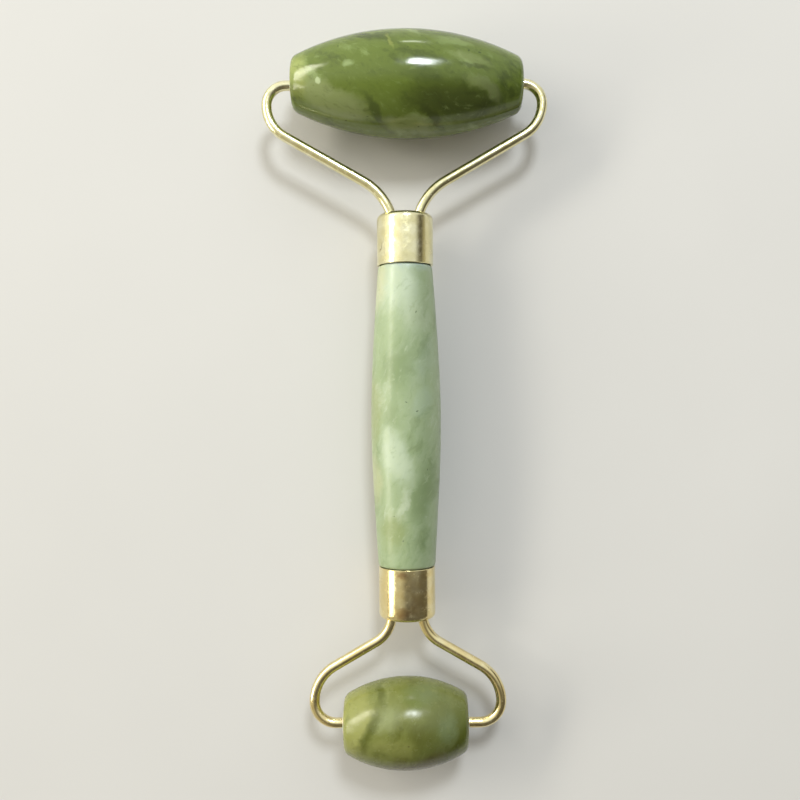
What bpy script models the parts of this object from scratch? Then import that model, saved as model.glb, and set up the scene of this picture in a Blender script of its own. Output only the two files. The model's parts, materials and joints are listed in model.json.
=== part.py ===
"""A two-ended jade face roller, lying on its two barrel rollers.

A stone handle is turned with a short tenon at each end. A brass ferrule, drawn as a closed cup, is
glued over each tenon. A wire yoke leaves each ferrule through two holes in its closed end: inside the
cup the wire is bent into a hairpin and potted in resin, and outside it spreads, loops round and turns
in to the roller. Its two ends are the axle: each runs in a plastic bushing pressed into the bore.

World frame: origin on the table, below the middle of the object's length. +Y points to the large
roller, +Z is up, and both rollers spin about X. Lengths are in millimetres until they are built.
"""

from math import asin, cos, hypot, pi, radians, sin, sqrt

import bmesh
import bpy
from mathutils import Vector

MM = 0.001
GAP = 0.3  # left between glued or pressed pieces

HANDLE_LENGTH = 58.9  # between the mouths of the two ferrules
HANDLE_RADIUS = 6.85
HANDLE_END_RADIUS = 5.45
HANDLE_BELLY = 13.0  # half-length over which the belly rounds into the straighter tapers
HANDLE_TAPER = 0.004  # how much the radius shrinks per mm towards the large roller
HANDLE_CHAMFER = 0.3
TENON_RADIUS = 4.7
TENON_LENGTH = 2.3

FERRULE_RADIUS = 5.5
FERRULE_LENGTH = 10.1
FERRULE_WALL = 0.5
FERRULE_ROUNDING = 1.2

WIRE_RADIUS = 1.0
LEG_HOLE_RADIUS = 1.3
SHOULDER_TURN = radians(60)  # from along the handle to the straight arm
STUB_SPAN = 6.0  # how far the wire's end reaches into the roller

# The two ends. "leg_spread" is half the distance between the hairpin's legs and "leg" their straight
# length. "shoulder", "outer_bend" and "inner_bend" are the wire's bend radii from the ferrule to the
# axle, and "reach" is half the yoke's width to the wire's centre. "roller_curve" is the radius of the
# barrel's profile and "roller_edge" that of its rounded edges. "slid" is how far the roller sits along
# its end play.
LARGE_END = {
    "axle_distance": 65.15,
    "roller_radius": 10.4,
    "roller_length": 45.2,
    "roller_curve": 50.5,
    "roller_edge": 1.9,
    "leg_spread": 2.1,
    "leg": 0.0,
    "shoulder": 12.0,
    "outer_bend": 7.07,
    "inner_bend": 3.9,
    "reach": 27.1,
    "slid": 0.5,
}
SMALL_END = {
    "axle_distance": 60.15,
    "roller_radius": 8.85,
    "roller_length": 24.2,
    "roller_curve": 22.6,
    "roller_edge": 1.9,
    "leg_spread": 3.0,
    "leg": 2.2,
    "shoulder": 6.3,
    "outer_bend": 8.0,
    "inner_bend": 4.2,
    "reach": 18.3,
    "slid": 0.4,
}

BORE_RADIUS = 2.5
BUSHING_RADIUS = 2.2
BUSHING_BORE = 1.2
BUSHING_LENGTH = 7.0
BUSHING_PROUD = 0.2

HANDLE_SIDES = 32
ROLLER_SIDES = 28
BUSHING_SIDES = 20
WIRE_BEVEL_RESOLUTION = 3
BEND_STEP = radians(10)


def clear_scene():
    for obj in list(bpy.data.objects):
        bpy.data.objects.remove(obj, do_unlink=True)


def material(name, color, roughness, metallic=0.0):
    made = bpy.data.materials.new(name)
    made.use_nodes = True
    shader = made.node_tree.nodes["Principled BSDF"]
    shader.inputs["Base Color"].default_value = (*color, 1.0)
    shader.inputs["Roughness"].default_value = roughness
    shader.inputs["Metallic"].default_value = metallic
    return made


def add_object(name, data, finish, parent, location=(0, 0, 0)):
    """A new object of this mesh or curve, at a place in its parent's frame in millimetres."""
    if finish:
        data.materials.append(finish)
    obj = bpy.data.objects.new(name, data)
    bpy.context.scene.collection.objects.link(obj)
    obj.parent = parent
    obj.location = Vector(location) * MM
    return obj


def add_empty(name, parent=None, location=(0, 0, 0), rotation=(0, 0, 0)):
    empty = add_object(name, None, None, parent, location)
    empty.rotation_euler = rotation
    return empty


def arc(centre, radius, start, end, steps):
    """Points on a circle in a plane, both ends included."""
    return [
        (
            centre[0] + radius * cos(start + (end - start) * i / steps),
            centre[1] + radius * sin(start + (end - start) * i / steps),
        )
        for i in range(steps + 1)
    ]


def turned(name, profile, axis, sides, closed, tangent=False):
    """A mesh turned from (radius, distance along the axis) points about X or Y.

    A closed profile goes round a ring, and an open one starts and ends on the axis. With tangent, the
    facets touch the true surface from outside and one of them faces down, so the piece rests on a flat.
    """
    half_step = pi / sides if tangent else 0.0
    outward = Vector((0, sin(half_step), -cos(half_step)))
    along = Vector((1, 0, 0))
    if axis == "Y":
        outward = Vector((sin(half_step), 0, -cos(half_step)))
        along = Vector((0, 1, 0))
    grow = 1 / cos(half_step)
    bm = bmesh.new()
    verts = [bm.verts.new((outward * r * grow + along * d) * MM) for r, d in profile]
    edges = [bm.edges.new(pair) for pair in zip(verts, verts[1:])]
    if closed:
        edges.append(bm.edges.new((verts[-1], verts[0])))
    bmesh.ops.spin(
        bm, geom=verts + edges, cent=(0, 0, 0), axis=along, angle=2 * pi, steps=sides, use_merge=True
    )
    bmesh.ops.remove_doubles(bm, verts=bm.verts, dist=0.001 * MM)
    bmesh.ops.recalc_face_normals(bm, faces=bm.faces)
    mesh = bpy.data.meshes.new(name)
    bm.to_mesh(mesh)
    bm.free()
    mesh.shade_smooth()
    mesh.set_sharp_from_angle(angle=radians(35))
    return mesh


def handle_radius(distance):
    """A soft belly that runs out into nearly straight tapers, a little thinner towards the large roller."""
    half = HANDLE_LENGTH / 2
    belly = sqrt(1 + (distance / HANDLE_BELLY) ** 2) - 1
    belly_end = sqrt(1 + (half / HANDLE_BELLY) ** 2) - 1
    drop = (HANDLE_RADIUS - HANDLE_END_RADIUS) * belly / belly_end
    return HANDLE_RADIUS - drop - HANDLE_TAPER * distance


def make_handle(parent, finish):
    shoulder = HANDLE_LENGTH / 2 - GAP
    tenon = HANDLE_LENGTH / 2 + TENON_LENGTH
    stations = 14
    body_half = shoulder - HANDLE_CHAMFER
    body = [-body_half + 2 * body_half * i / stations for i in range(stations + 1)]
    profile = [(0, -tenon), (TENON_RADIUS, -tenon), (TENON_RADIUS, -shoulder)]
    profile.append((handle_radius(-shoulder) - HANDLE_CHAMFER, -shoulder))
    profile += [(handle_radius(distance), distance) for distance in body]
    profile.append((handle_radius(shoulder) - HANDLE_CHAMFER, shoulder))
    profile += [(TENON_RADIUS, shoulder), (TENON_RADIUS, tenon), (0, tenon)]
    mesh = turned("handle", profile, "Y", HANDLE_SIDES, closed=False)
    return add_object("handle", mesh, finish, parent)


def ferrule_mesh():
    """A drawn cup, its mouth at 0 and its closed end towards +Y."""
    inner_radius = FERRULE_RADIUS - FERRULE_WALL
    inner_end = FERRULE_LENGTH - FERRULE_WALL
    inner_rounding = FERRULE_ROUNDING - FERRULE_WALL
    outer = arc(
        (FERRULE_RADIUS - FERRULE_ROUNDING, FERRULE_LENGTH - FERRULE_ROUNDING),
        FERRULE_ROUNDING, pi / 2, 0, 4,
    )
    inner = arc(
        (inner_radius - inner_rounding, inner_end - inner_rounding), inner_rounding, 0, pi / 2, 3
    )
    profile = [(0, FERRULE_LENGTH)] + outer
    profile += [(FERRULE_RADIUS, 0), (inner_radius, 0)]
    profile += inner + [(0, inner_end)]
    return turned("ferrule", profile, "Y", HANDLE_SIDES, closed=False)


def plug_mesh():
    """The resin behind the handle's tenon, filling the cup, in the ferrule's own frame."""
    start = TENON_LENGTH + GAP
    end = FERRULE_LENGTH - FERRULE_WALL - GAP
    corner = FERRULE_ROUNDING - FERRULE_WALL
    profile = [(0, start), (TENON_RADIUS, start)]
    profile += arc((TENON_RADIUS - corner, end - corner), corner, 0, pi / 2, 3)
    profile.append((0, end))
    return turned("plug", profile, "Y", HANDLE_SIDES, closed=False)


def bend(points, heading, radius, turn):
    """Adds a bend to the points, to the left for a positive turn, and gives the new heading."""
    side = 1 if turn > 0 else -1
    x, y = points[-1]
    centre = (x - side * radius * sin(heading), y + side * radius * cos(heading))
    start = heading - side * pi / 2
    steps = round(abs(turn) / BEND_STEP)
    points += arc(centre, radius, start, start + turn, steps)[1:]
    return heading + turn


def run(points, heading, length):
    x, y = points[-1]
    points.append((x + length * cos(heading), y + length * sin(heading)))


def half_yoke(end):
    """The wire's centre line for x >= 0: hairpin, leg, shoulder, straight arm, loop and axle stub."""
    spread = end["leg_spread"]
    shoulder = end["shoulder"]
    outer = end["outer_bend"]
    inner = end["inner_bend"]
    across = 1 - cos(SHOULDER_TURN)
    arm = (end["reach"] - spread - across * (shoulder + outer)) / sin(SHOULDER_TURN)
    shoulder_start = (
        end["axle_distance"] - inner - sin(SHOULDER_TURN) * (shoulder + outer) - cos(SHOULDER_TURN) * arm
    )
    points = [(0.0, shoulder_start - end["leg"] - spread)]
    heading = bend(points, 0.0, spread, pi / 2)
    if end["leg"]:
        run(points, heading, end["leg"])
    heading = bend(points, heading, shoulder, -SHOULDER_TURN)
    run(points, heading, arm)
    heading = bend(points, heading, outer, SHOULDER_TURN)
    heading = bend(points, heading, inner, pi / 2)
    stub_end = end["roller_length"] / 2 - STUB_SPAN
    run(points, heading, points[-1][0] - stub_end)
    return points


def wire(name, points, radius):
    """A round wire along points in the XY plane, its ends closed."""
    curve = bpy.data.curves.new(name, "CURVE")
    curve.dimensions = "3D"
    curve.bevel_depth = radius * MM
    curve.bevel_resolution = WIRE_BEVEL_RESOLUTION
    curve.use_fill_caps = True
    spline = curve.splines.new("POLY")
    spline.points.add(len(points) - 1)
    for point, (x, y) in zip(spline.points, points):
        point.co = (x * MM, y * MM, 0, 1)
    return curve


def both_halves(half):
    return [(-x, y) for x, y in reversed(half[1:])] + half


def leg_cutter(name, end, parent):
    """The room that the hairpin and its two legs take in the resin and in the ferrule's closed end."""
    reach = HANDLE_LENGTH / 2 + FERRULE_LENGTH + 3 * WIRE_RADIUS
    half = [(x, y) for x, y in half_yoke(end) if y < reach]
    curve = wire(name, both_halves(half), LEG_HOLE_RADIUS)
    guide = add_object(name + "_path", curve, None, parent)
    bpy.context.view_layer.update()
    graph = bpy.context.evaluated_depsgraph_get()
    mesh = bpy.data.meshes.new_from_object(guide.evaluated_get(graph))
    bpy.data.objects.remove(guide, do_unlink=True)
    bm = bmesh.new()
    bm.from_mesh(mesh)
    bmesh.ops.remove_doubles(bm, verts=bm.verts, dist=0.001 * MM)
    bmesh.ops.recalc_face_normals(bm, faces=bm.faces)
    bm.to_mesh(mesh)
    bm.free()
    cutter = add_object(name, mesh, None, parent)
    cutter.hide_render = True
    cutter.display_type = "WIRE"
    return cutter


def cut(obj, cutter):
    modifier = obj.modifiers.new("leg_holes", "BOOLEAN")
    modifier.operation = "DIFFERENCE"
    modifier.object = cutter


def roller_mesh(end):
    """A barrel with a circular profile, small rounded edges, flat end faces and a bore right through."""
    half = end["roller_length"] / 2
    curve = end["roller_curve"]
    rounding = end["roller_edge"]
    centre = end["roller_radius"] - curve  # of the barrel's profile circle, from the axis
    edge_x = half - rounding
    edge_r = centre + sqrt((curve - rounding) ** 2 - edge_x**2)
    lean = asin((edge_r - centre) / hypot(edge_x, edge_r - centre))
    edge = arc((edge_x, edge_r), rounding, 0, lean, 3)
    barrel = arc((0, centre), curve, lean, pi - lean, 10)[1:-1]
    outline = edge + barrel + [(-x, r) for x, r in reversed(edge)]
    profile = [(BORE_RADIUS, half)] + [(r, x) for x, r in outline] + [(BORE_RADIUS, -half)]
    return turned("roller", profile, "X", ROLLER_SIDES, closed=True, tangent=True)


def bushing_mesh():
    """A plain sleeve along X, its outer end face at 0."""
    profile = [
        (BUSHING_BORE, 0),
        (BUSHING_BORE, -BUSHING_LENGTH),
        (BUSHING_RADIUS, -BUSHING_LENGTH),
        (BUSHING_RADIUS, 0),
    ]
    return turned("bushing", profile, "X", BUSHING_SIDES, closed=True)


def make_end(size, place, end, parent, finishes):
    """One end of the tool: ferrule and resin plug, wire yoke, roller and its two bushings."""
    mouth = (0, HANDLE_LENGTH / 2, 0)
    ferrule = add_object(place + "_ferrule", ferrule_mesh(), finishes["brass"], parent, mouth)
    plug = add_object(place + "_resin_plug", plug_mesh(), finishes["resin"], parent, mouth)
    cutter = leg_cutter(place + "_leg_room", end, parent)
    cut(ferrule, cutter)
    cut(plug, cutter)
    curve = wire(place + "_yoke", both_halves(half_yoke(end)), WIRE_RADIUS)
    add_object(place + "_yoke", curve, finishes["brass"], parent)
    axle = (end["slid"], end["axle_distance"], 0)
    roller = add_object(size + "_roller", roller_mesh(end), finishes[size + "_jade"], parent, axle)
    face = end["roller_length"] / 2 + BUSHING_PROUD
    for side, turn, sign in (("right", 0, 1), ("left", pi, -1)):
        name = size + "_roller_" + side + "_bushing"
        bushing = add_object(name, bushing_mesh(), finishes["plastic"], roller, (sign * face, 0, 0))
        bushing.rotation_euler.z = turn


def main():
    clear_scene()
    finishes = {
        "large_jade": material("olive_jade", (0.16, 0.21, 0.05), 0.22),
        "small_jade": material("yellow_green_jade", (0.24, 0.29, 0.08), 0.25),
        "handle_jade": material("pale_jade", (0.40, 0.47, 0.27), 0.25),
        "brass": material("pale_brass", (0.75, 0.62, 0.33), 0.2, metallic=1.0),
        "plastic": material("clear_nylon", (0.80, 0.80, 0.74), 0.4),
        "resin": material("amber_resin", (0.62, 0.52, 0.30), 0.3),
    }
    spacing = LARGE_END["axle_distance"] + SMALL_END["axle_distance"]
    rise = LARGE_END["roller_radius"] - SMALL_END["roller_radius"]
    tilt = asin(rise / spacing)
    overhang = LARGE_END["axle_distance"] - SMALL_END["axle_distance"]
    middle = -(overhang * cos(tilt) + rise) / 2
    height = SMALL_END["roller_radius"] + SMALL_END["axle_distance"] * sin(tilt)
    tool = add_empty("tool_axis", location=(0, middle, height), rotation=(tilt, 0, 0))
    upper = add_empty("upper_end", tool)
    lower = add_empty("lower_end", tool, rotation=(0, 0, pi))
    make_handle(tool, finishes["handle_jade"])
    make_end("large", "upper", LARGE_END, upper, finishes)
    make_end("small", "lower", SMALL_END, lower, finishes)


main()
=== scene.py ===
"""The looks of a two-ended jade face roller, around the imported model.

The pieces are built in millimetres in the tool's own frame: 0 is the middle of the handle, Y runs along
it towards the large roller, and Z is up. The small end is built in the same way and turned round, and
each roller is built about its own middle. The frame's joints say where all of that is in the world.
"""

import json
from math import asin, atan2, cos, hypot, pi, radians, sin, sqrt

import bpy
from mathutils import Euler, Matrix, Vector, noise

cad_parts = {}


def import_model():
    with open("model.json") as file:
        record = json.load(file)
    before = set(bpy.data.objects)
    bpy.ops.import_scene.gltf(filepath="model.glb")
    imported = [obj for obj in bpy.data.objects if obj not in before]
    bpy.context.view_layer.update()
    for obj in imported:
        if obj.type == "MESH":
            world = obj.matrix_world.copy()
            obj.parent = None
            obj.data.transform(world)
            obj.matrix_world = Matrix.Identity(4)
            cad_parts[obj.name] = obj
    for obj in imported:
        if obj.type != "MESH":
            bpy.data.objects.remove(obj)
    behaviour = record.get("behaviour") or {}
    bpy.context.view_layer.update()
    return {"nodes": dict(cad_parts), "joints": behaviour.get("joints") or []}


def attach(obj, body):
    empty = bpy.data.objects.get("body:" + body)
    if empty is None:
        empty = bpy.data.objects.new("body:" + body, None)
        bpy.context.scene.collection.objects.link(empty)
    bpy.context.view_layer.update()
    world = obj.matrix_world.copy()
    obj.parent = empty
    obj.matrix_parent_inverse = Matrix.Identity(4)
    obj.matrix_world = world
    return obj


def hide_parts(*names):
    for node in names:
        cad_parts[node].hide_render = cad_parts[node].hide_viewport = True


MM = 0.001

# The same driving dimensions as the CAD source.
HANDLE_LENGTH = 58.9  # between the mouths of the two ferrules
HANDLE_RADIUS = 6.85
HANDLE_END_RADIUS = 5.45
HANDLE_BELLY = 13.0  # half-length over which the belly rounds into the straighter tapers
HANDLE_TAPER = 0.004  # how much the radius shrinks per mm towards the large roller
TENON_RADIUS = 4.7
TENON_LENGTH = 2.3
FERRULE_RADIUS = 5.5
FERRULE_LENGTH = 10.1
FERRULE_WALL = 0.5
FERRULE_ROUNDING = 1.2
WIRE_RADIUS = 1.0
SHOULDER_TURN = radians(60)  # from along the handle to the straight arm
STUB_SPAN = 6.0  # how far the wire's end reaches into the roller
BORE_RADIUS = 2.5
BUSHING_BORE = 1.2
BUSHING_LENGTH = 7.0
BUSHING_PROUD = 0.2

# The two ends. "leg_spread" is half the distance between the hairpin's legs and "leg" their straight
# length. "shoulder", "outer_bend" and "inner_bend" are the wire's bend radii from the ferrule to the
# axle, and "reach" is half the yoke's width to the wire's centre. "roller_curve" is the radius of the
# barrel's profile and "roller_edge" that of its rounded edges. "slid" is how far the roller sits along
# its end play, and "askew" how many degrees its outside leans from its bore.
LARGE_END = {
    "axle_distance": 65.15,
    "roller_radius": 10.4,
    "roller_length": 45.2,
    "roller_curve": 50.5,
    "roller_edge": 1.9,
    "askew": -0.7,
    "leg_spread": 2.1,
    "leg": 0.0,
    "shoulder": 12.0,
    "outer_bend": 7.07,
    "inner_bend": 3.9,
    "reach": 27.1,
    "slid": 0.5,
}
SMALL_END = {
    "axle_distance": 60.15,
    "roller_radius": 8.85,
    "roller_length": 24.2,
    "roller_curve": 22.6,
    "roller_edge": 1.9,
    "askew": 0.8,
    "leg_spread": 3.0,
    "leg": 2.2,
    "shoulder": 6.3,
    "outer_bend": 8.0,
    "inner_bend": 4.2,
    "reach": 18.3,
    "slid": 0.4,
}

# Fits and small edges of the looks. The fits keep the pieces just clear of one another.
SEAM = 0.12  # the joint line between handle and ferrule
BUSHING_RADIUS = 2.44
LEG_HOLE_RADIUS = 1.06
BORE_CHAMFER = 0.3
END_FACE_MARGIN = 0.4  # a ring this far inside an end face's edge keeps its shading flat
BUSHING_CHAMFER = 0.15
MOUTH_CHAMFER = 0.12
HANDLE_ROUNDING = 0.45
GRIND_DEPTH = 0.05  # how far a surface ground by hand dips

SIDES = 144
BUSHING_SIDES = 64
WIRE_SIDES = 32
HANDLE_STATIONS = 150
BEND_STEP = radians(3)

# The stage, in metres, degrees and watts.
FLOOR_HALF_SIZE = 3.0
CAMERA_PLACE = (-0.0002, -0.0031, 0.193)
CAMERA_TURN = (0.92, 0.31, -0.36)
CAMERA_LENS = 42.0  # mm, on a sensor this wide
SENSOR_WIDTH = 36.0
CREAM_LIGHT = (1.0, 0.95, 0.80)
# Name, azimuth, elevation, distance, width, height, power and colour of each light.
LIGHTS = [
    ("far_window", 12, 56, 0.62, 0.110, 0.115, 1.72, (0.91, 0.97, 1.0)),
    ("far_gap", 3, 12, 0.85, 0.10, 0.035, 0.16, (1.0, 1.0, 0.95)),
    ("left_window", -65, 33, 0.85, 0.56, 0.15, 3.2, CREAM_LIGHT),
    ("left_door", -101, 23, 0.85, 0.22, 0.30, 1.6, CREAM_LIGHT),
]
ROOM_STRENGTH = 0.93
ROOM_DARK = (0.135, 0.122, 0.095)
ROOM_BRIGHT = (0.90, 0.92, 0.90)
LEFT_GLOW = (0.38, 0.35, 0.26)
RIGHT_GLOW = (0.40, 0.37, 0.26)
BLACK = (0.0, 0.0, 0.0)


# ---------------------------------------------------------------- mesh building


def arc(centre, radius, start, end, steps):
    """Points on an arc, with both of its ends."""
    return [
        (
            centre[0] + radius * cos(start + (end - start) * i / steps),
            centre[1] + radius * sin(start + (end - start) * i / steps),
        )
        for i in range(steps + 1)
    ]


def piece(name, vertices, faces, matrix, finish, sharp=40):
    """A new object from points in millimetres, smooth except at its crisp edges."""
    mesh = bpy.data.meshes.new(name)
    mesh.from_pydata([Vector(v) * MM for v in vertices], [], faces)
    mesh.validate()
    mesh.shade_smooth()
    mesh.set_sharp_from_angle(angle=radians(sharp))
    mesh.materials.append(finish)
    obj = bpy.data.objects.new(name, mesh)
    bpy.context.scene.collection.objects.link(obj)
    obj.matrix_world = matrix
    return obj


def turned(profile, axis, closed, sides=SIDES):
    """Points and faces turned from (radius, distance along the axis) pairs about X or Y.

    The profile runs so that the solid is on its left, with the axis pointing right and the radius up.
    """
    vertices = []
    rings = []
    for radius, along in profile:
        if radius == 0:
            rings.append([len(vertices)] * sides)
            vertices.append((along, 0, 0) if axis == "X" else (0, along, 0))
            continue
        rings.append(range(len(vertices), len(vertices) + sides))
        for i in range(sides):
            angle = 2 * pi * i / sides
            a, b = radius * cos(angle), radius * sin(angle)
            vertices.append((along, a, b) if axis == "X" else (b, along, a))
    pairs = list(zip(rings, rings[1:]))
    if closed:
        pairs.append((rings[-1], rings[0]))
    faces = []
    for near, far in pairs:
        for i in range(sides):
            j = (i + 1) % sides
            corners = [near[i], near[j], far[j], far[i]]
            faces.append([c for k, c in enumerate(corners) if c != corners[k - 1]])
    return vertices, faces


def grind_dip(place):
    """The slight unevenness of a surface ground and polished by hand. It only takes material away."""
    return GRIND_DEPTH * (0.5 + 0.5 * noise.noise(place))


def ground_barrel(vertices):
    """A roller's dips, each towards the middle of the stone."""
    seed = Vector((5, 0, 0))
    grain = 9.0
    moved = []
    for vertex in vertices:
        place = Vector(vertex)
        moved.append(place * (1 - grind_dip(place / grain + seed) / max(place.length, 1.0)))
    return moved


def ground_bar(vertices):
    """The handle's dips, drawn out along it and each towards its axis, so that its ends stay flat."""
    grain = 6
    moved = []
    for x, y, z in vertices:
        dip = grind_dip(Vector((x / grain, y / (2 * grain), z / grain)))
        shrink = 1 - dip / max(hypot(x, z), 1.0)
        moved.append((x * shrink, y, z * shrink))
    return moved


def ground_askew(vertices, lean):
    """The outside of a roller leans a little from its bore, which stays straight."""
    straight_rim = 0.5
    blend = 2.0
    moved = []
    for x, y, z in vertices:
        outside = min(1.0, max(0.0, (hypot(y, z) - BORE_RADIUS - straight_rim) / blend))
        moved.append((x, y + x * sin(lean) * outside, z))
    return moved


def bend(points, heading, radius, turn):
    """Bends the path on from its last point, to the left for a positive turn. Gives the new heading."""
    side = 1 if turn > 0 else -1
    x, y = points[-1]
    centre = (x - side * radius * sin(heading), y + side * radius * cos(heading))
    start = heading - side * pi / 2
    steps = round(abs(turn) / BEND_STEP)
    points += arc(centre, radius, start, start + turn, steps)[1:]
    return heading + turn


def run(points, heading, length, steps=12):
    """Takes the path straight on from its last point."""
    x, y = points[-1]
    for i in range(1, steps + 1):
        reach = length * i / steps
        points.append((x + reach * cos(heading), y + reach * sin(heading)))


def half_yoke(end):
    """The wire's centre line for x >= 0: hairpin, leg, shoulder, straight arm, loop and axle stub."""
    spread = end["leg_spread"]
    shoulder = end["shoulder"]
    outer = end["outer_bend"]
    inner = end["inner_bend"]
    bends_across = (1 - cos(SHOULDER_TURN)) * (shoulder + outer)
    bends_along = sin(SHOULDER_TURN) * (shoulder + outer)
    arm = (end["reach"] - spread - bends_across) / sin(SHOULDER_TURN)
    shoulder_start = end["axle_distance"] - inner - bends_along - cos(SHOULDER_TURN) * arm
    points = [(0.0, shoulder_start - end["leg"] - spread)]
    heading = bend(points, 0.0, spread, pi / 2)
    if end["leg"]:
        run(points, heading, end["leg"])
    heading = bend(points, heading, shoulder, -SHOULDER_TURN)
    run(points, heading, arm)
    heading = bend(points, heading, outer, SHOULDER_TURN)
    heading = bend(points, heading, inner, pi / 2)
    run(points, heading, points[-1][0] - end["roller_length"] / 2 + STUB_SPAN)
    return points


def both_halves(half):
    """The whole wire from its left end to its right end."""
    return [(-x, y) for x, y in reversed(half[1:])] + half


def tube(points, radius, sides=WIRE_SIDES):
    """A round wire along points in the XY plane, closed by flat ends with a small chamfer."""
    chamfer = 0.25 * radius
    path = [Vector((x, y, 0)) for x, y in points]
    start = (path[1] - path[0]).normalized() * chamfer
    stop = (path[-1] - path[-2]).normalized() * chamfer
    path = [path[0], path[0] + start] + path[1:-1] + [path[-1] - stop, path[-1]]
    radii = [radius - chamfer] + [radius] * (len(path) - 2) + [radius - chamfer]
    vertices = []
    for i, (centre, ring_radius) in enumerate(zip(path, radii)):
        along = (path[min(i + 1, len(path) - 1)] - path[max(i - 1, 0)]).normalized()
        across = Vector((along.y, -along.x, 0))
        for k in range(sides):
            angle = 2 * pi * k / sides
            vertices.append(centre + ring_radius * (across * cos(angle) + Vector((0, 0, sin(angle)))))
    faces = [list(range(sides))]
    for i in range(len(path) - 1):
        for k in range(sides):
            j = (k + 1) % sides
            a, b = i * sides, (i + 1) * sides
            faces.append([a + k, b + k, b + j, a + j])
    last = (len(path) - 1) * sides
    faces.append([last + k for k in reversed(range(sides))])
    return vertices, faces


# ---------------------------------------------------------------- materials

OLIVE = {
    "deep": (0.050, 0.070, 0.011),
    "middle": (0.118, 0.163, 0.026),
    "pale": (0.225, 0.295, 0.100),
    "speck": (0.030, 0.045, 0.012),
}
YELLOW_GREEN = {
    "deep": (0.105, 0.118, 0.018),
    "middle": (0.170, 0.190, 0.046),
    "pale": (0.240, 0.262, 0.092),
    "speck": (0.090, 0.090, 0.025),
}
CELADON = {
    "deep": (0.200, 0.272, 0.125),
    "middle": (0.315, 0.395, 0.230),
    "pale": (0.455, 0.525, 0.375),
    "speck": (0.060, 0.085, 0.035),
}
MILKY_OLIVE = (0.245, 0.290, 0.120)
DARK_OLIVE = (0.037, 0.046, 0.010)
MILKY_CELADON = (0.495, 0.575, 0.440)
GREY_GREEN = (0.152, 0.190, 0.080)
DARK_VEIN = (0.075, 0.090, 0.008)
BROWN_GREEN = (0.082, 0.070, 0.014)
UPPER_BRASS = {"golden": (0.80, 0.74, 0.42), "pale": (0.92, 0.88, 0.60)}
LOWER_BRASS = {"golden": (0.84, 0.70, 0.35), "pale": (0.92, 0.83, 0.51)}
RUBBED_BRASS = (0.40, 0.30, 0.14)
TARNISH = (0.36, 0.20, 0.09)
NYLON_TONES = (0.62, 0.61, 0.52), (0.80, 0.79, 0.71)
RESIN_TONES = (0.42, 0.27, 0.09), (0.62, 0.47, 0.22)
FLOOR_TONES = (0.588, 0.577, 0.569), (0.624, 0.613, 0.605)

# Patches and marks are (centre mm, size mm, turn in degrees, core, colour, strength).
LARGE_PATCHES = [
    ((8.0, -5.5, 7.0), (14.0, 4.6, 7.0), -6, 0.3, DARK_OLIVE, 0.75),
    ((3.0, -1.5, 9.0), (8.0, 2.2, 5.0), -14, 0.2, OLIVE["deep"], 0.45),
    ((-14.0, -5.4, 6.0), (9.8, 3.8, 6.0), -30, 0.55, MILKY_OLIVE, 0.7),
    ((-16.5, -2.6, 7.0), (4.0, 1.8, 6.0), -20, 0.6, MILKY_OLIVE, 0.5),
    ((-6.6, -6.6, 5.0), (7.5, 1.0, 6.0), -44, 0.4, OLIVE["deep"], 0.75),
    ((0.6, -9.3, 4.5), (6.4, 2.0, 6.0), -8, 0.5, MILKY_OLIVE, 0.65),
    ((4.4, -7.6, 4.5), (6.0, 0.9, 6.0), -30, 0.4, DARK_OLIVE, 0.6),
    ((8.0, 8.4, 5.0), (11.0, 4.0, 8.0), -12, 0.25, (0.082, 0.116, 0.018), 0.75),
    ((14.5, -3.4, 7.0), (6.5, 1.5, 5.0), -24, 0.3, MILKY_OLIVE, 0.45),
    ((11.5, 1.8, 8.0), (6.0, 1.5, 5.0), -18, 0.3, MILKY_OLIVE, 0.45),
    ((9.0, 5.6, 8.0), (5.0, 1.3, 5.0), -14, 0.4, OLIVE["pale"], 0.6),
    ((12.0, 0.2, 8.0), (5.0, 0.7, 5.0), -10, 0.3, DARK_OLIVE, 0.5),
    ((-3.2, 4.6, 8.0), (0.5, 3.0, 4.0), 14, 0.2, (0.300, 0.330, 0.080), 0.6),
    ((-16.6, -1.4, 7.0), (0.8, 0.7, 3.0), 40, 0.5, (0.480, 0.560, 0.330), 0.8),
    ((-11.0, 1.0, 9.0), (1.4, 1.0, 3.0), 0, 0.3, (0.330, 0.420, 0.190), 0.6),
    # painted reflection: this pale yellow patch on the left end stands in for the left window's cream
    # reflection
    ((-21.0, 0.5, 3.0), (3.5, 5.5, 7.0), 0, 0.3, (0.330, 0.370, 0.110), 0.7),
]
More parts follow.
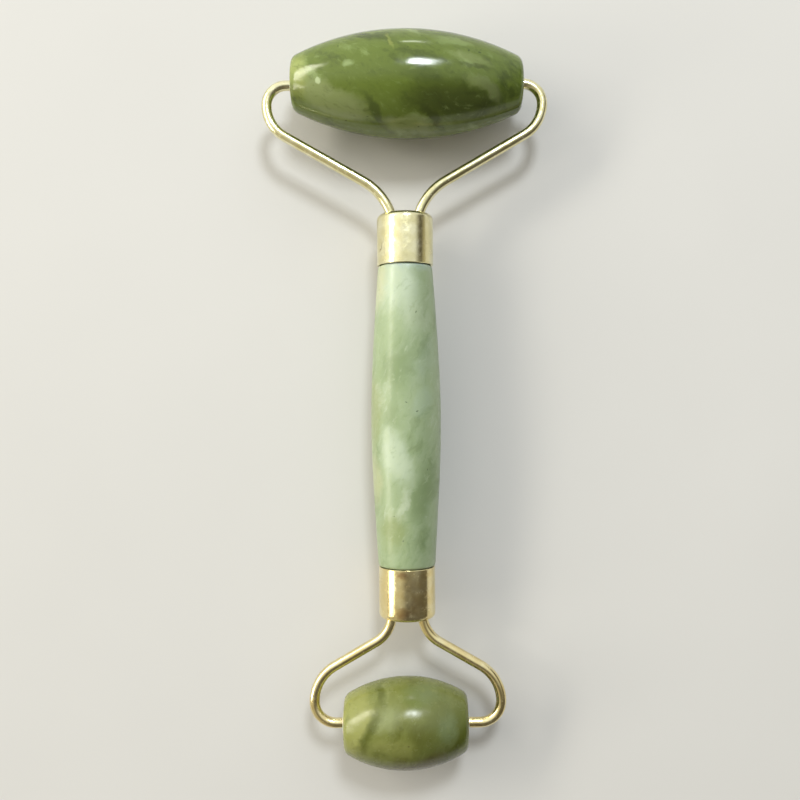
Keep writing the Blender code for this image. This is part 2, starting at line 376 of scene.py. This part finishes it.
SMALL_PATCHES = [
    ((8.0, 0.0, 6.0), (10.0, 12.0, 9.0), 0, 0.2, (0.100, 0.120, 0.032), 0.75),
    # painted reflection: this pale yellow patch on the left end stands in for the left window's cream
    # reflection
    ((-10.0, 2.0, 4.0), (4.6, 9.5, 9.0), 0, 0.5, (0.290, 0.300, 0.090), 0.75),
    ((-4.0, 3.2, 8.0), (3.8, 3.2, 4.0), 10, 0.2, (0.260, 0.290, 0.130), 0.8),
    ((2.6, 0.4, 8.0), (4.2, 2.4, 5.0), -20, 0.3, (0.105, 0.116, 0.024), 0.65),
    ((-1.5, -4.6, 7.0), (2.6, 1.8, 5.0), 20, 0.3, (0.110, 0.115, 0.018), 0.75),
    ((-2.0, -2.0, 8.0), (5.4, 3.0, 4.0), 0, 0.2, (0.245, 0.258, 0.080), 0.6),
    ((4.0, 7.4, 5.0), (6.0, 2.4, 5.0), -5, 0.2, GREY_GREEN, 0.7),
    ((1.6, 5.8, 6.0), (3.4, 1.6, 4.0), 0, 0.2, (0.120, 0.155, 0.022), 0.7),
    ((7.6, 1.4, 6.0), (2.6, 4.2, 6.0), 10, 0.3, GREY_GREEN, 0.85),
    ((2.0, -7.0, 4.5), (11.0, 4.2, 6.0), 8, 0.25, BROWN_GREEN, 0.9),
    ((6.0, -4.4, 7.0), (5.0, 2.6, 5.0), 10, 0.2, BROWN_GREEN, 0.5),
    ((-4.8, 7.0, 5.0), (1.1, 4.0, 6.0), 6, 0.15, DARK_VEIN, 0.7),
    ((-7.2, 0.0, 7.0), (1.6, 8.0, 8.0), -18, 0.15, DARK_VEIN, 0.85),
    ((9.2, -3.0, 4.5), (1.7, 7.8, 7.0), -34, 0.3, DARK_VEIN, 0.9),
    ((11.6, -5.0, 3.0), (1.2, 2.5, 4.0), -10, 0.4, GREY_GREEN, 0.6),
]
UPPER_BRASS_MARKS = [
    ((-4.7, 3.3, 2.9), (0.18, 1.6, 1.4), -25, 0.3, (0.26, 0.19, 0.07), 0.8),
]
LOWER_BRASS_MARKS = [
    ((0.9, 0.9, 5.4), (1.8, 1.0, 1.5), 0, 0.1, TARNISH, 0.7),
    ((0.8, 8.4, 5.3), (2.2, 1.7, 1.5), 20, 0.1, TARNISH, 0.75),
    ((-1.6, 6.6, 5.3), (2.2, 3.4, 1.5), 0, 0.1, (0.45, 0.30, 0.13), 0.5),
    ((-1.0, 3.0, 5.3), (2.6, 2.4, 1.5), 30, 0.1, (0.50, 0.36, 0.15), 0.5),
]
HANDLE_PATCHES = [
    ((-1.5, 25.0, 5.0), (5.5, 8.0, 6.0), 10, 0.25, MILKY_CELADON, 0.75),
    ((0.5, 30.0, 4.0), (7.0, 3.0, 8.0), 0, 0.3, (0.400, 0.490, 0.450), 0.75),
    ((2.0, 19.0, 5.0), (4.5, 4.0, 5.0), -30, 0.3, CELADON["pale"], 0.5),
    ((-1.6, 9.6, 6.0), (4.6, 8.0, 5.0), -15, 0.25, CELADON["deep"], 0.85),
    ((-3.0, 0.0, 6.0), (2.6, 5.0, 5.0), 0, 0.2, CELADON["deep"], 0.6),
    # painted sheen: this cream patch on the left edge stands in for the left window's light on the handle
    ((-4.8, 26.0, 2.0), (2.4, 6.0, 5.0), 0, 0.3, (0.580, 0.580, 0.380), 0.6),
    ((-6.4, 1.0, 3.0), (2.4, 10.0, 5.0), 0, 0.3, (0.290, 0.325, 0.145), 0.6),
    ((-6.4, -12.0, 3.0), (2.4, 7.0, 5.0), 0, 0.3, (0.460, 0.480, 0.290), 0.6),
    ((3.0, 3.0, 6.0), (2.6, 4.0, 5.0), -15, 0.4, (0.370, 0.460, 0.320), 0.6),
    ((-1.8, -8.0, 6.0), (3.8, 8.0, 5.0), 18, 0.35, MILKY_CELADON, 0.75),
    ((4.2, 11.0, 5.0), (3.0, 7.0, 5.0), -20, 0.3, (0.340, 0.420, 0.295), 0.5),
    ((3.4, -15.0, 5.0), (3.4, 8.0, 5.0), -20, 0.4, CELADON["deep"], 0.8),
    ((-2.8, -22.0, 6.0), (4.5, 4.5, 5.0), 15, 0.3, (0.250, 0.305, 0.120), 0.8),
]


def add(tree, kind, sockets=None, **settings):
    """A new node. A socket given as a value takes it, and one given as an output is linked to it."""
    made = tree.nodes.new(kind)
    for name, value in settings.items():
        setattr(made, name, value)
    for name, value in (sockets or {}).items():
        if isinstance(value, bpy.types.NodeSocket):
            tree.links.new(value, made.inputs[name])
        else:
            made.inputs[name].default_value = value
    return made


def calculate(tree, operation, first, second=0.0):
    return add(tree, "ShaderNodeMath", {0: first, 1: second}, operation=operation).outputs[0]


def smooth_range(tree, value, low, high, to_low=0.0, to_high=1.0):
    """Gives to_low at low and to_high at high, with a soft change between. low may be the larger."""
    sockets = {"Value": value, "From Min": low, "From Max": high, "To Min": to_low, "To Max": to_high}
    return add(tree, "ShaderNodeMapRange", sockets, interpolation_type="SMOOTHSTEP").outputs["Result"]


def mix(tree, factor, first, second, blend_type="MIX"):
    """Two colours mixed. Each may be a value or an output."""

    def color(value):
        return value if isinstance(value, bpy.types.NodeSocket) else (*value, 1.0)

    sockets = {"Fac": factor, "Color1": color(first), "Color2": color(second)}
    return add(tree, "ShaderNodeMixRGB", sockets, blend_type=blend_type).outputs["Color"]


def cloud_noise(tree, vector, scale, detail=4.0, roughness=0.5, distortion=0.0):
    sockets = {
        "Vector": vector,
        "Scale": scale,
        "Detail": detail,
        "Roughness": roughness,
        "Distortion": distortion,
    }
    return add(tree, "ShaderNodeTexNoise", sockets)


def in_millimetres(tree):
    """The piece's own coordinates, in millimetres."""
    place = add(tree, "ShaderNodeTexCoord").outputs["Object"]
    return add(
        tree, "ShaderNodeVectorMath", {0: place, "Scale": 1 / MM}, operation="SCALE"
    ).outputs["Vector"]


def warped(tree, place, scale, amount):
    """Coordinates pushed about by noise, so that nothing placed with them has a straight edge."""
    push = cloud_noise(tree, place, scale, detail=3.0).outputs["Color"]
    centred = add(
        tree, "ShaderNodeVectorMath", {0: push, 1: (0.5, 0.5, 0.5)}, operation="SUBTRACT"
    ).outputs["Vector"]
    pushed = add(
        tree, "ShaderNodeVectorMath", {0: centred, "Scale": amount}, operation="SCALE"
    ).outputs["Vector"]
    return add(tree, "ShaderNodeVectorMath", {0: place, 1: pushed}, operation="ADD").outputs["Vector"]


def patch(tree, place, centre, size, turn, core):
    """1 inside the core share of an ellipsoid, fading to 0 at its edge. Its long side turns about Z."""
    moved = add(
        tree, "ShaderNodeVectorMath", {0: place, 1: centre}, operation="SUBTRACT"
    ).outputs["Vector"]
    rotated = add(
        tree, "ShaderNodeVectorRotate", {"Vector": moved, "Angle": -radians(turn)}, rotation_type="Z_AXIS"
    ).outputs["Vector"]
    shrunk = add(
        tree, "ShaderNodeVectorMath", {0: rotated, 1: size}, operation="DIVIDE"
    ).outputs["Vector"]
    length = add(tree, "ShaderNodeVectorMath", {0: shrunk}, operation="LENGTH").outputs["Value"]
    return smooth_range(tree, length, 1.0, core)


def patched(tree, place, color, patches):
    """The colour with patches over it: (centre mm, size mm, turn in degrees, core, colour, strength)."""
    for centre, size, turn, core, tint, strength in patches:
        mask = calculate(tree, "MULTIPLY", patch(tree, place, centre, size, turn, core), strength)
        color = mix(tree, mask, color, tint)
    return color


def new_material(name):
    made = bpy.data.materials.new(name)
    made.use_nodes = True
    tree = made.node_tree
    return made, tree, tree.nodes["Principled BSDF"]


def bumped(tree, shader, height, strength, distance):
    """Fine relief in the shader. distance is the relief's depth in millimetres."""
    sockets = {"Height": height, "Strength": strength, "Distance": distance * MM}
    tree.links.new(add(tree, "ShaderNodeBump", sockets).outputs["Normal"], shader.inputs["Normal"])


def along_grain(tree, place, streak_turn):
    """Coordinates that change slowly along the streaks of the stone, which are turned about Z."""
    sockets = {"Vector": place, "Angle": -radians(streak_turn)}
    turned_place = add(
        tree, "ShaderNodeVectorRotate", sockets, rotation_type="Z_AXIS"
    ).outputs["Vector"]
    return add(
        tree, "ShaderNodeVectorMath", {0: turned_place, 1: (0.4, 1.0, 0.8)}, operation="MULTIPLY"
    ).outputs["Vector"]


def specked(tree, place, color, tint):
    """The colour with small specks in a few of the cells that fill the stone."""
    cells = add(tree, "ShaderNodeTexVoronoi", {"Vector": place, "Scale": 0.42}, feature="F1")
    near = smooth_range(tree, cells.outputs["Distance"], 0.12, 0.05)
    chosen = add(tree, "ShaderNodeSeparateColor", {"Color": cells.outputs["Color"]}).outputs["Red"]
    speck = calculate(tree, "MULTIPLY", near, smooth_range(tree, chosen, 0.76, 0.84, 0.0, 0.85))
    return mix(tree, speck, color, tint)


def jade(name, colors, patches, streak_turn, roughness, subsurface, wax=0.0):
    """Polished translucent stone: soft tones drawn out along a grain, placed patches and specks. Some of
    the patches are painted reflections.

    colors holds the deep, middle, pale and speck tones. wax is the weight of a thin glossy film.
    """
    made, tree, shader = new_material(name)
    place = in_millimetres(tree)
    bent = warped(tree, place, scale=0.16, amount=4.0)
    bent = warped(tree, bent, scale=0.8, amount=1.1)
    grain = along_grain(tree, bent, streak_turn)
    tone = cloud_noise(tree, grain, 0.20, detail=6.0, roughness=0.6).outputs["Fac"]
    color = mix(tree, smooth_range(tree, tone, 0.29, 0.49), colors["deep"], colors["middle"])
    color = mix(tree, smooth_range(tree, tone, 0.56, 0.72), color, colors["pale"])
    color = patched(tree, bent, color, patches)
    fibre = cloud_noise(tree, grain, 1.0, detail=6.0, roughness=0.65, distortion=0.2).outputs["Fac"]
    color = mix(tree, smooth_range(tree, fibre, 0.54, 0.74, 0.0, 0.4), color, colors["pale"])
    color = mix(tree, smooth_range(tree, fibre, 0.47, 0.30, 0.0, 0.35), color, colors["deep"])
    color = specked(tree, bent, color, colors["speck"])
    tree.links.new(color, shader.inputs["Base Color"])
    shine = cloud_noise(tree, place, 0.5, detail=5.0).outputs["Fac"]
    uneven = smooth_range(tree, shine, 0.35, 0.7, roughness * 0.8, roughness * 1.35)
    tree.links.new(uneven, shader.inputs["Roughness"])
    shader.inputs["Coat Weight"].default_value = wax
    shader.inputs["Coat Roughness"].default_value = 0.28
    shader.inputs["IOR"].default_value = 1.48
    shader.inputs["Subsurface Weight"].default_value = subsurface
    shader.inputs["Subsurface Radius"].default_value = (1.0, 1.0, 0.55)
    shader.inputs["Subsurface Scale"].default_value = 2.2 * MM
    waves = cloud_noise(tree, place, 0.3, detail=1.0).outputs["Fac"]
    bumped(tree, shader, waves, strength=0.2, distance=0.05)
    return made


def brass(name, colors, marks):
    """Polished pale brass with faint drawing lines, rubbed spots, and marks of tarnish or scratches."""
    made, tree, shader = new_material(name)
    place = in_millimetres(tree)
    tone = cloud_noise(tree, place, 0.35, detail=4.0).outputs["Fac"]
    color = mix(tree, smooth_range(tree, tone, 0.35, 0.7), colors["golden"], colors["pale"])
    bent = warped(tree, place, scale=0.8, amount=1.4)
    bent = warped(tree, bent, scale=2.6, amount=0.8)
    color = patched(tree, bent, color, marks)
    spots = cloud_noise(tree, place, 2.4, detail=2.0).outputs["Fac"]
    color = mix(tree, smooth_range(tree, spots, 0.68, 0.80, 0.0, 0.4), color, RUBBED_BRASS)
    tree.links.new(color, shader.inputs["Base Color"])
    shader.inputs["Metallic"].default_value = 1.0
    wear = cloud_noise(tree, place, 1.1, detail=6.0, roughness=0.6).outputs["Fac"]
    tree.links.new(smooth_range(tree, wear, 0.3, 0.75, 0.12, 0.30), shader.inputs["Roughness"])
    drawn = add(
        tree, "ShaderNodeVectorMath", {0: place, 1: (9.0, 0.25, 9.0)}, operation="MULTIPLY"
    ).outputs["Vector"]
    lines = cloud_noise(tree, drawn, 0.8, detail=3.0).outputs["Fac"]
    bumped(tree, shader, lines, strength=0.08, distance=0.02)
    return made


def nylon():
    """The natural nylon of the bushings, which lets a little light in."""
    made, tree, shader = new_material("natural_nylon")
    place = in_millimetres(tree)
    tone = cloud_noise(tree, place, 1.2, detail=3.0).outputs["Fac"]
    color = mix(tree, tone, *NYLON_TONES)
    tree.links.new(color, shader.inputs["Base Color"])
    tree.links.new(smooth_range(tree, tone, 0.3, 0.7, 0.35, 0.5), shader.inputs["Roughness"])
    shader.inputs["Subsurface Weight"].default_value = 0.4
    shader.inputs["Subsurface Scale"].default_value = 0.8 * MM
    return made


def resin():
    """The amber resin in the ferrules."""
    made, tree, shader = new_material("amber_resin")
    place = in_millimetres(tree)
    tone = cloud_noise(tree, place, 0.8, detail=3.0).outputs["Fac"]
    color = mix(tree, tone, *RESIN_TONES)
    tree.links.new(color, shader.inputs["Base Color"])
    tree.links.new(smooth_range(tree, tone, 0.3, 0.7, 0.18, 0.35), shader.inputs["Roughness"])
    return made


def floor_finish():
    """Plain, pale and matt, with only the faint unevenness of seamless paper."""
    made, tree, shader = new_material("pale_floor")
    place = in_millimetres(tree)
    tone = cloud_noise(tree, place, 0.02, detail=3.0).outputs["Fac"]
    color = mix(tree, tone, *FLOOR_TONES)
    tree.links.new(color, shader.inputs["Base Color"])
    shader.inputs["Roughness"].default_value = 0.85
    shader.inputs["Specular IOR Level"].default_value = 0.2
    return made


# ---------------------------------------------------------------- pieces


def barrel_outline(end):
    """The stone's outer profile from one end face to the other, as (radius, x) points."""
    half = end["roller_length"] / 2
    curve = end["roller_curve"]
    rounding = end["roller_edge"]
    centre = end["roller_radius"] - curve
    edge_x = half - rounding
    edge_r = centre + sqrt((curve - rounding) ** 2 - edge_x**2)
    lean = asin((edge_r - centre) / hypot(edge_x, edge_r - centre))
    edge = arc((edge_x, edge_r), rounding, 0, lean, steps=12)
    barrel = arc((0, centre), curve, lean, pi - lean, steps=90)[1:-1]
    outline = edge + barrel + [(-x, r) for x, r in reversed(edge)]
    return [(r, x) for x, r in outline]


def bushing_section():
    """The section of a bushing whose outer face is at 0, as (radius, x) points."""
    return [
        (BUSHING_BORE, -BUSHING_LENGTH),
        (BUSHING_BORE, -BUSHING_CHAMFER),
        (BUSHING_BORE + BUSHING_CHAMFER, 0),
        (BUSHING_RADIUS - BUSHING_CHAMFER, 0),
        (BUSHING_RADIUS, -BUSHING_CHAMFER),
        (BUSHING_RADIUS, -BUSHING_LENGTH),
    ]


def make_roller(size, end, matrix, finishes):
    """The stone and its two bushings, on the body that spins."""
    body = size + "_roller"
    half = end["roller_length"] / 2
    outline = barrel_outline(end)
    flat = [(BORE_RADIUS + BORE_CHAMFER, half), (outline[0][0] - END_FACE_MARGIN, half)]
    profile = [(BORE_RADIUS, half - BORE_CHAMFER)] + flat + outline
    profile += [(r, -x) for r, x in reversed(flat)] + [(BORE_RADIUS, BORE_CHAMFER - half)]
    vertices, faces = turned(profile, "X", closed=True)
    vertices = ground_askew(ground_barrel(vertices), radians(end["askew"]))
    stone = piece(size + "_stone", vertices, faces, matrix, finishes[body])
    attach(stone, body)
    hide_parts(body)
    for side, sign in (("right", 1), ("left", -1)):
        name = f"{size}_roller_{side}_bushing"
        profile = [(r, sign * (half + BUSHING_PROUD + along)) for r, along in bushing_section()]
        if sign < 0:
            profile.reverse()
        vertices, faces = turned(profile, "X", closed=True, sides=BUSHING_SIDES)
        bushing = piece(name + "_sleeve", vertices, faces, matrix, finishes["nylon"])
        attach(bushing, body)
        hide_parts(name)


def handle_radius(distance):
    """The handle's radius at a distance from its middle, towards the large roller."""
    half = HANDLE_LENGTH / 2
    belly = sqrt(1 + (distance / HANDLE_BELLY) ** 2) - 1
    belly_end = sqrt(1 + (half / HANDLE_BELLY) ** 2) - 1
    drop = (HANDLE_RADIUS - HANDLE_END_RADIUS) * belly / belly_end
    return HANDLE_RADIUS - drop - HANDLE_TAPER * distance


def handle_profile():
    """The handle's section from the small roller's end to the large one's, as (radius, y) points."""
    shoulder = HANDLE_LENGTH / 2 - SEAM
    tenon = HANDLE_LENGTH / 2 + TENON_LENGTH
    rounding = HANDLE_ROUNDING
    profile = [(0, -tenon), (TENON_RADIUS, -tenon), (TENON_RADIUS, -shoulder)]
    low_centre = (rounding - shoulder, handle_radius(-shoulder) - rounding)
    profile += [(r, along) for along, r in arc(low_centre, rounding, pi, pi / 2, steps=6)]
    span = shoulder - rounding
    for i in range(1, HANDLE_STATIONS):
        distance = -span + 2 * span * i / HANDLE_STATIONS
        profile.append((handle_radius(distance), distance))
    high_centre = (shoulder - rounding, handle_radius(shoulder) - rounding)
    profile += [(r, along) for along, r in arc(high_centre, rounding, pi / 2, 0, steps=6)]
    return profile + [(TENON_RADIUS, shoulder), (TENON_RADIUS, tenon), (0, tenon)]


def make_handle(matrix, finishes):
    """The handle with its tenons, turned from one profile."""
    vertices, faces = turned(handle_profile()[::-1], "Y", closed=False)
    handle = piece("handle_stone", ground_bar(vertices), faces, matrix, finishes["handle"])
    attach(handle, "frame")
    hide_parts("handle")


def ferrule_profile():
    """The cup's section: down its outside to the mouth at 0, and back up its inside to the closed end."""
    inner_radius = FERRULE_RADIUS - FERRULE_WALL
    inner_end = FERRULE_LENGTH - FERRULE_WALL
    inner_rounding = FERRULE_ROUNDING - FERRULE_WALL
    outer_centre = (FERRULE_LENGTH - FERRULE_ROUNDING, FERRULE_RADIUS - FERRULE_ROUNDING)
    inner_centre = (inner_end - inner_rounding, inner_radius - inner_rounding)
    outer = arc(outer_centre, FERRULE_ROUNDING, 0, pi / 2, steps=12)
    inner = arc(inner_centre, inner_rounding, pi / 2, 0, steps=8)
    mouth = [
        (FERRULE_RADIUS, MOUTH_CHAMFER),
        (FERRULE_RADIUS - MOUTH_CHAMFER, 0),
        (inner_radius + MOUTH_CHAMFER, 0),
        (inner_radius, MOUTH_CHAMFER),
    ]
    profile = [(0, FERRULE_LENGTH)] + [(r, along) for along, r in outer] + mouth
    return profile + [(r, along) for along, r in inner] + [(0, inner_end)]


def make_ferrule(place, end, matrix, finish):
    """The brass cup, with the two holes in its closed end through which the wire's legs leave it.

    The holes are cut with the wire's own path, a hair thicker, up to just past the closed end.
    """
    mouth = matrix @ Matrix.Translation((0, HANDLE_LENGTH / 2 * MM, 0))
    vertices, faces = turned(ferrule_profile(), "Y", closed=False)
    ferrule = piece(place + "_brass_cup", vertices, faces, mouth, finish)
    reach = HANDLE_LENGTH / 2 + FERRULE_LENGTH + 2 * WIRE_RADIUS
    legs = both_halves([(x, y) for x, y in half_yoke(end) if y < reach])
    vertices, faces = tube(legs, LEG_HOLE_RADIUS)
    cutter = piece(place + "_leg_room", vertices, faces, matrix, finish)
    modifier = ferrule.modifiers.new("leg_holes", "BOOLEAN")
    modifier.operation = "DIFFERENCE"
    modifier.object = cutter
    bpy.context.view_layer.update()
    graph = bpy.context.evaluated_depsgraph_get()
    ferrule.data = bpy.data.meshes.new_from_object(ferrule.evaluated_get(graph))
    ferrule.modifiers.clear()
    bpy.data.objects.remove(cutter, do_unlink=True)
    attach(ferrule, "frame")
    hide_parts(place + "_ferrule")


def make_yoke(place, end, matrix, finish):
    """The bent wire, from one axle stub to the other."""
    vertices, faces = tube(both_halves(half_yoke(end)), WIRE_RADIUS)
    wire = piece(place + "_wire", vertices, faces, matrix, finish)
    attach(wire, "frame")
    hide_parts(place + "_yoke")


# ---------------------------------------------------------------- stage


def make_floor():
    size = FLOOR_HALF_SIZE
    mesh = bpy.data.meshes.new("floor")
    corners = [(-size, -size, 0), (size, -size, 0), (size, size, 0), (-size, size, 0)]
    mesh.from_pydata(corners, [], [(0, 1, 2, 3)])
    mesh.materials.append(floor_finish())
    floor = bpy.data.objects.new("floor", mesh)
    bpy.context.scene.collection.objects.link(floor)


def soft_light(name, azimuth, elevation, distance, width, height, power, color):
    """An area light that looks at the object. Azimuth 0 is +Y and 90 is +X, elevation above the floor."""
    data = bpy.data.lights.new(name, "AREA")
    data.shape = "RECTANGLE"
    data.size = width
    data.size_y = height
    data.energy = power
    data.color = color
    light = bpy.data.objects.new(name, data)
    turn = radians(azimuth)
    rise = radians(elevation)
    light.location = distance * Vector((sin(turn) * cos(rise), cos(turn) * cos(rise), sin(rise)))
    light.rotation_euler = (-light.location).to_track_quat("-Z", "Y").to_euler()
    light.visible_camera = False
    bpy.context.scene.collection.objects.link(light)


def make_world():
    """A soft room: bright on the far side, dark on the near side, with a glow at the left and right."""
    world = bpy.data.worlds.new("soft_room")
    bpy.context.scene.world = world
    world.use_nodes = True
    tree = world.node_tree
    direction = add(tree, "ShaderNodeTexCoord").outputs["Generated"]
    parts = add(tree, "ShaderNodeSeparateXYZ", {0: direction})
    far = smooth_range(tree, parts.outputs["Y"], -0.34, 0.22)
    not_right = smooth_range(tree, parts.outputs["X"], 0.90, 0.62)
    left = smooth_range(tree, parts.outputs["X"], 0.05, -0.55)
    bright = calculate(tree, "MULTIPLY", far, not_right)
    right = smooth_range(tree, parts.outputs["X"], 0.93, 0.99)
    right_glow = calculate(tree, "MULTIPLY", right, smooth_range(tree, parts.outputs["Y"], -0.15, 0.10))
    wall = mix(tree, bright, ROOM_DARK, ROOM_BRIGHT)
    glow = mix(tree, left, BLACK, LEFT_GLOW)
    glow = mix(tree, right_glow, glow, RIGHT_GLOW)
    background = tree.nodes["Background"]
    tree.links.new(mix(tree, 1.0, wall, glow, "ADD"), background.inputs["Color"])
    background.inputs["Strength"].default_value = ROOM_STRENGTH


def make_camera():
    """Straight down from just above the handle, a hair off square as a hand holds it."""
    data = bpy.data.cameras.new("camera")
    data.lens = CAMERA_LENS
    data.sensor_width = SENSOR_WIDTH
    data.clip_start = 0.01
    camera = bpy.data.objects.new("camera", data)
    camera.location = CAMERA_PLACE
    camera.rotation_euler = Euler([radians(angle) for angle in CAMERA_TURN], "XYZ")
    bpy.context.scene.collection.objects.link(camera)
    bpy.context.scene.camera = camera


def tool_matrix(frame):
    """Where the tool's own frame lies in the world, from the two axles."""
    axles = {joint["child"]: Vector(joint["pos_m"]) for joint in frame["joints"]}
    large = axles["large_roller"]
    small = axles["small_roller"]
    tilt = atan2(large.z - small.z, large.y - small.y)
    along = Vector((0, cos(tilt), sin(tilt)))
    middle = small + along * SMALL_END["axle_distance"] * MM
    return Matrix.Translation(middle) @ Matrix.Rotation(tilt, 4, "X")


def main():
    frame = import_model()
    bpy.context.scene.view_settings.view_transform = "Standard"
    finishes = {
        "large_roller": jade(
            "olive_jade", OLIVE, LARGE_PATCHES,
            streak_turn=-28, roughness=0.14, subsurface=0.35,
        ),
        "small_roller": jade(
            "yellow_green_jade", YELLOW_GREEN, SMALL_PATCHES,
            streak_turn=70, roughness=0.23, subsurface=0.35,
        ),
        "handle": jade(
            "celadon_jade", CELADON, HANDLE_PATCHES,
            streak_turn=60, roughness=0.38, subsurface=0.4, wax=0.2,
        ),
        "nylon": nylon(),
    }
    upper = tool_matrix(frame)
    lower = upper @ Matrix.Rotation(pi, 4, "Z")
    upper_brass = brass("upper_brass", UPPER_BRASS, UPPER_BRASS_MARKS)
    lower_brass = brass("lower_brass", LOWER_BRASS, LOWER_BRASS_MARKS)
    plug_finish = resin()
    make_handle(upper, finishes)
    for size, place, end, matrix, metal in (
        ("large", "upper", LARGE_END, upper, upper_brass),
        ("small", "lower", SMALL_END, lower, lower_brass),
    ):
        make_ferrule(place, end, matrix, metal)
        make_yoke(place, end, matrix, metal)
        axle = matrix @ Vector((end["slid"] * MM, end["axle_distance"] * MM, 0))
        make_roller(size, end, Matrix.Translation(axle), finishes)
        plug_mesh = frame["nodes"][place + "_resin_plug"].data
        plug_mesh.materials.clear()
        plug_mesh.materials.append(plug_finish)
    make_floor()
    for light in LIGHTS:
        soft_light(*light)
    make_world()
    make_camera()


main()
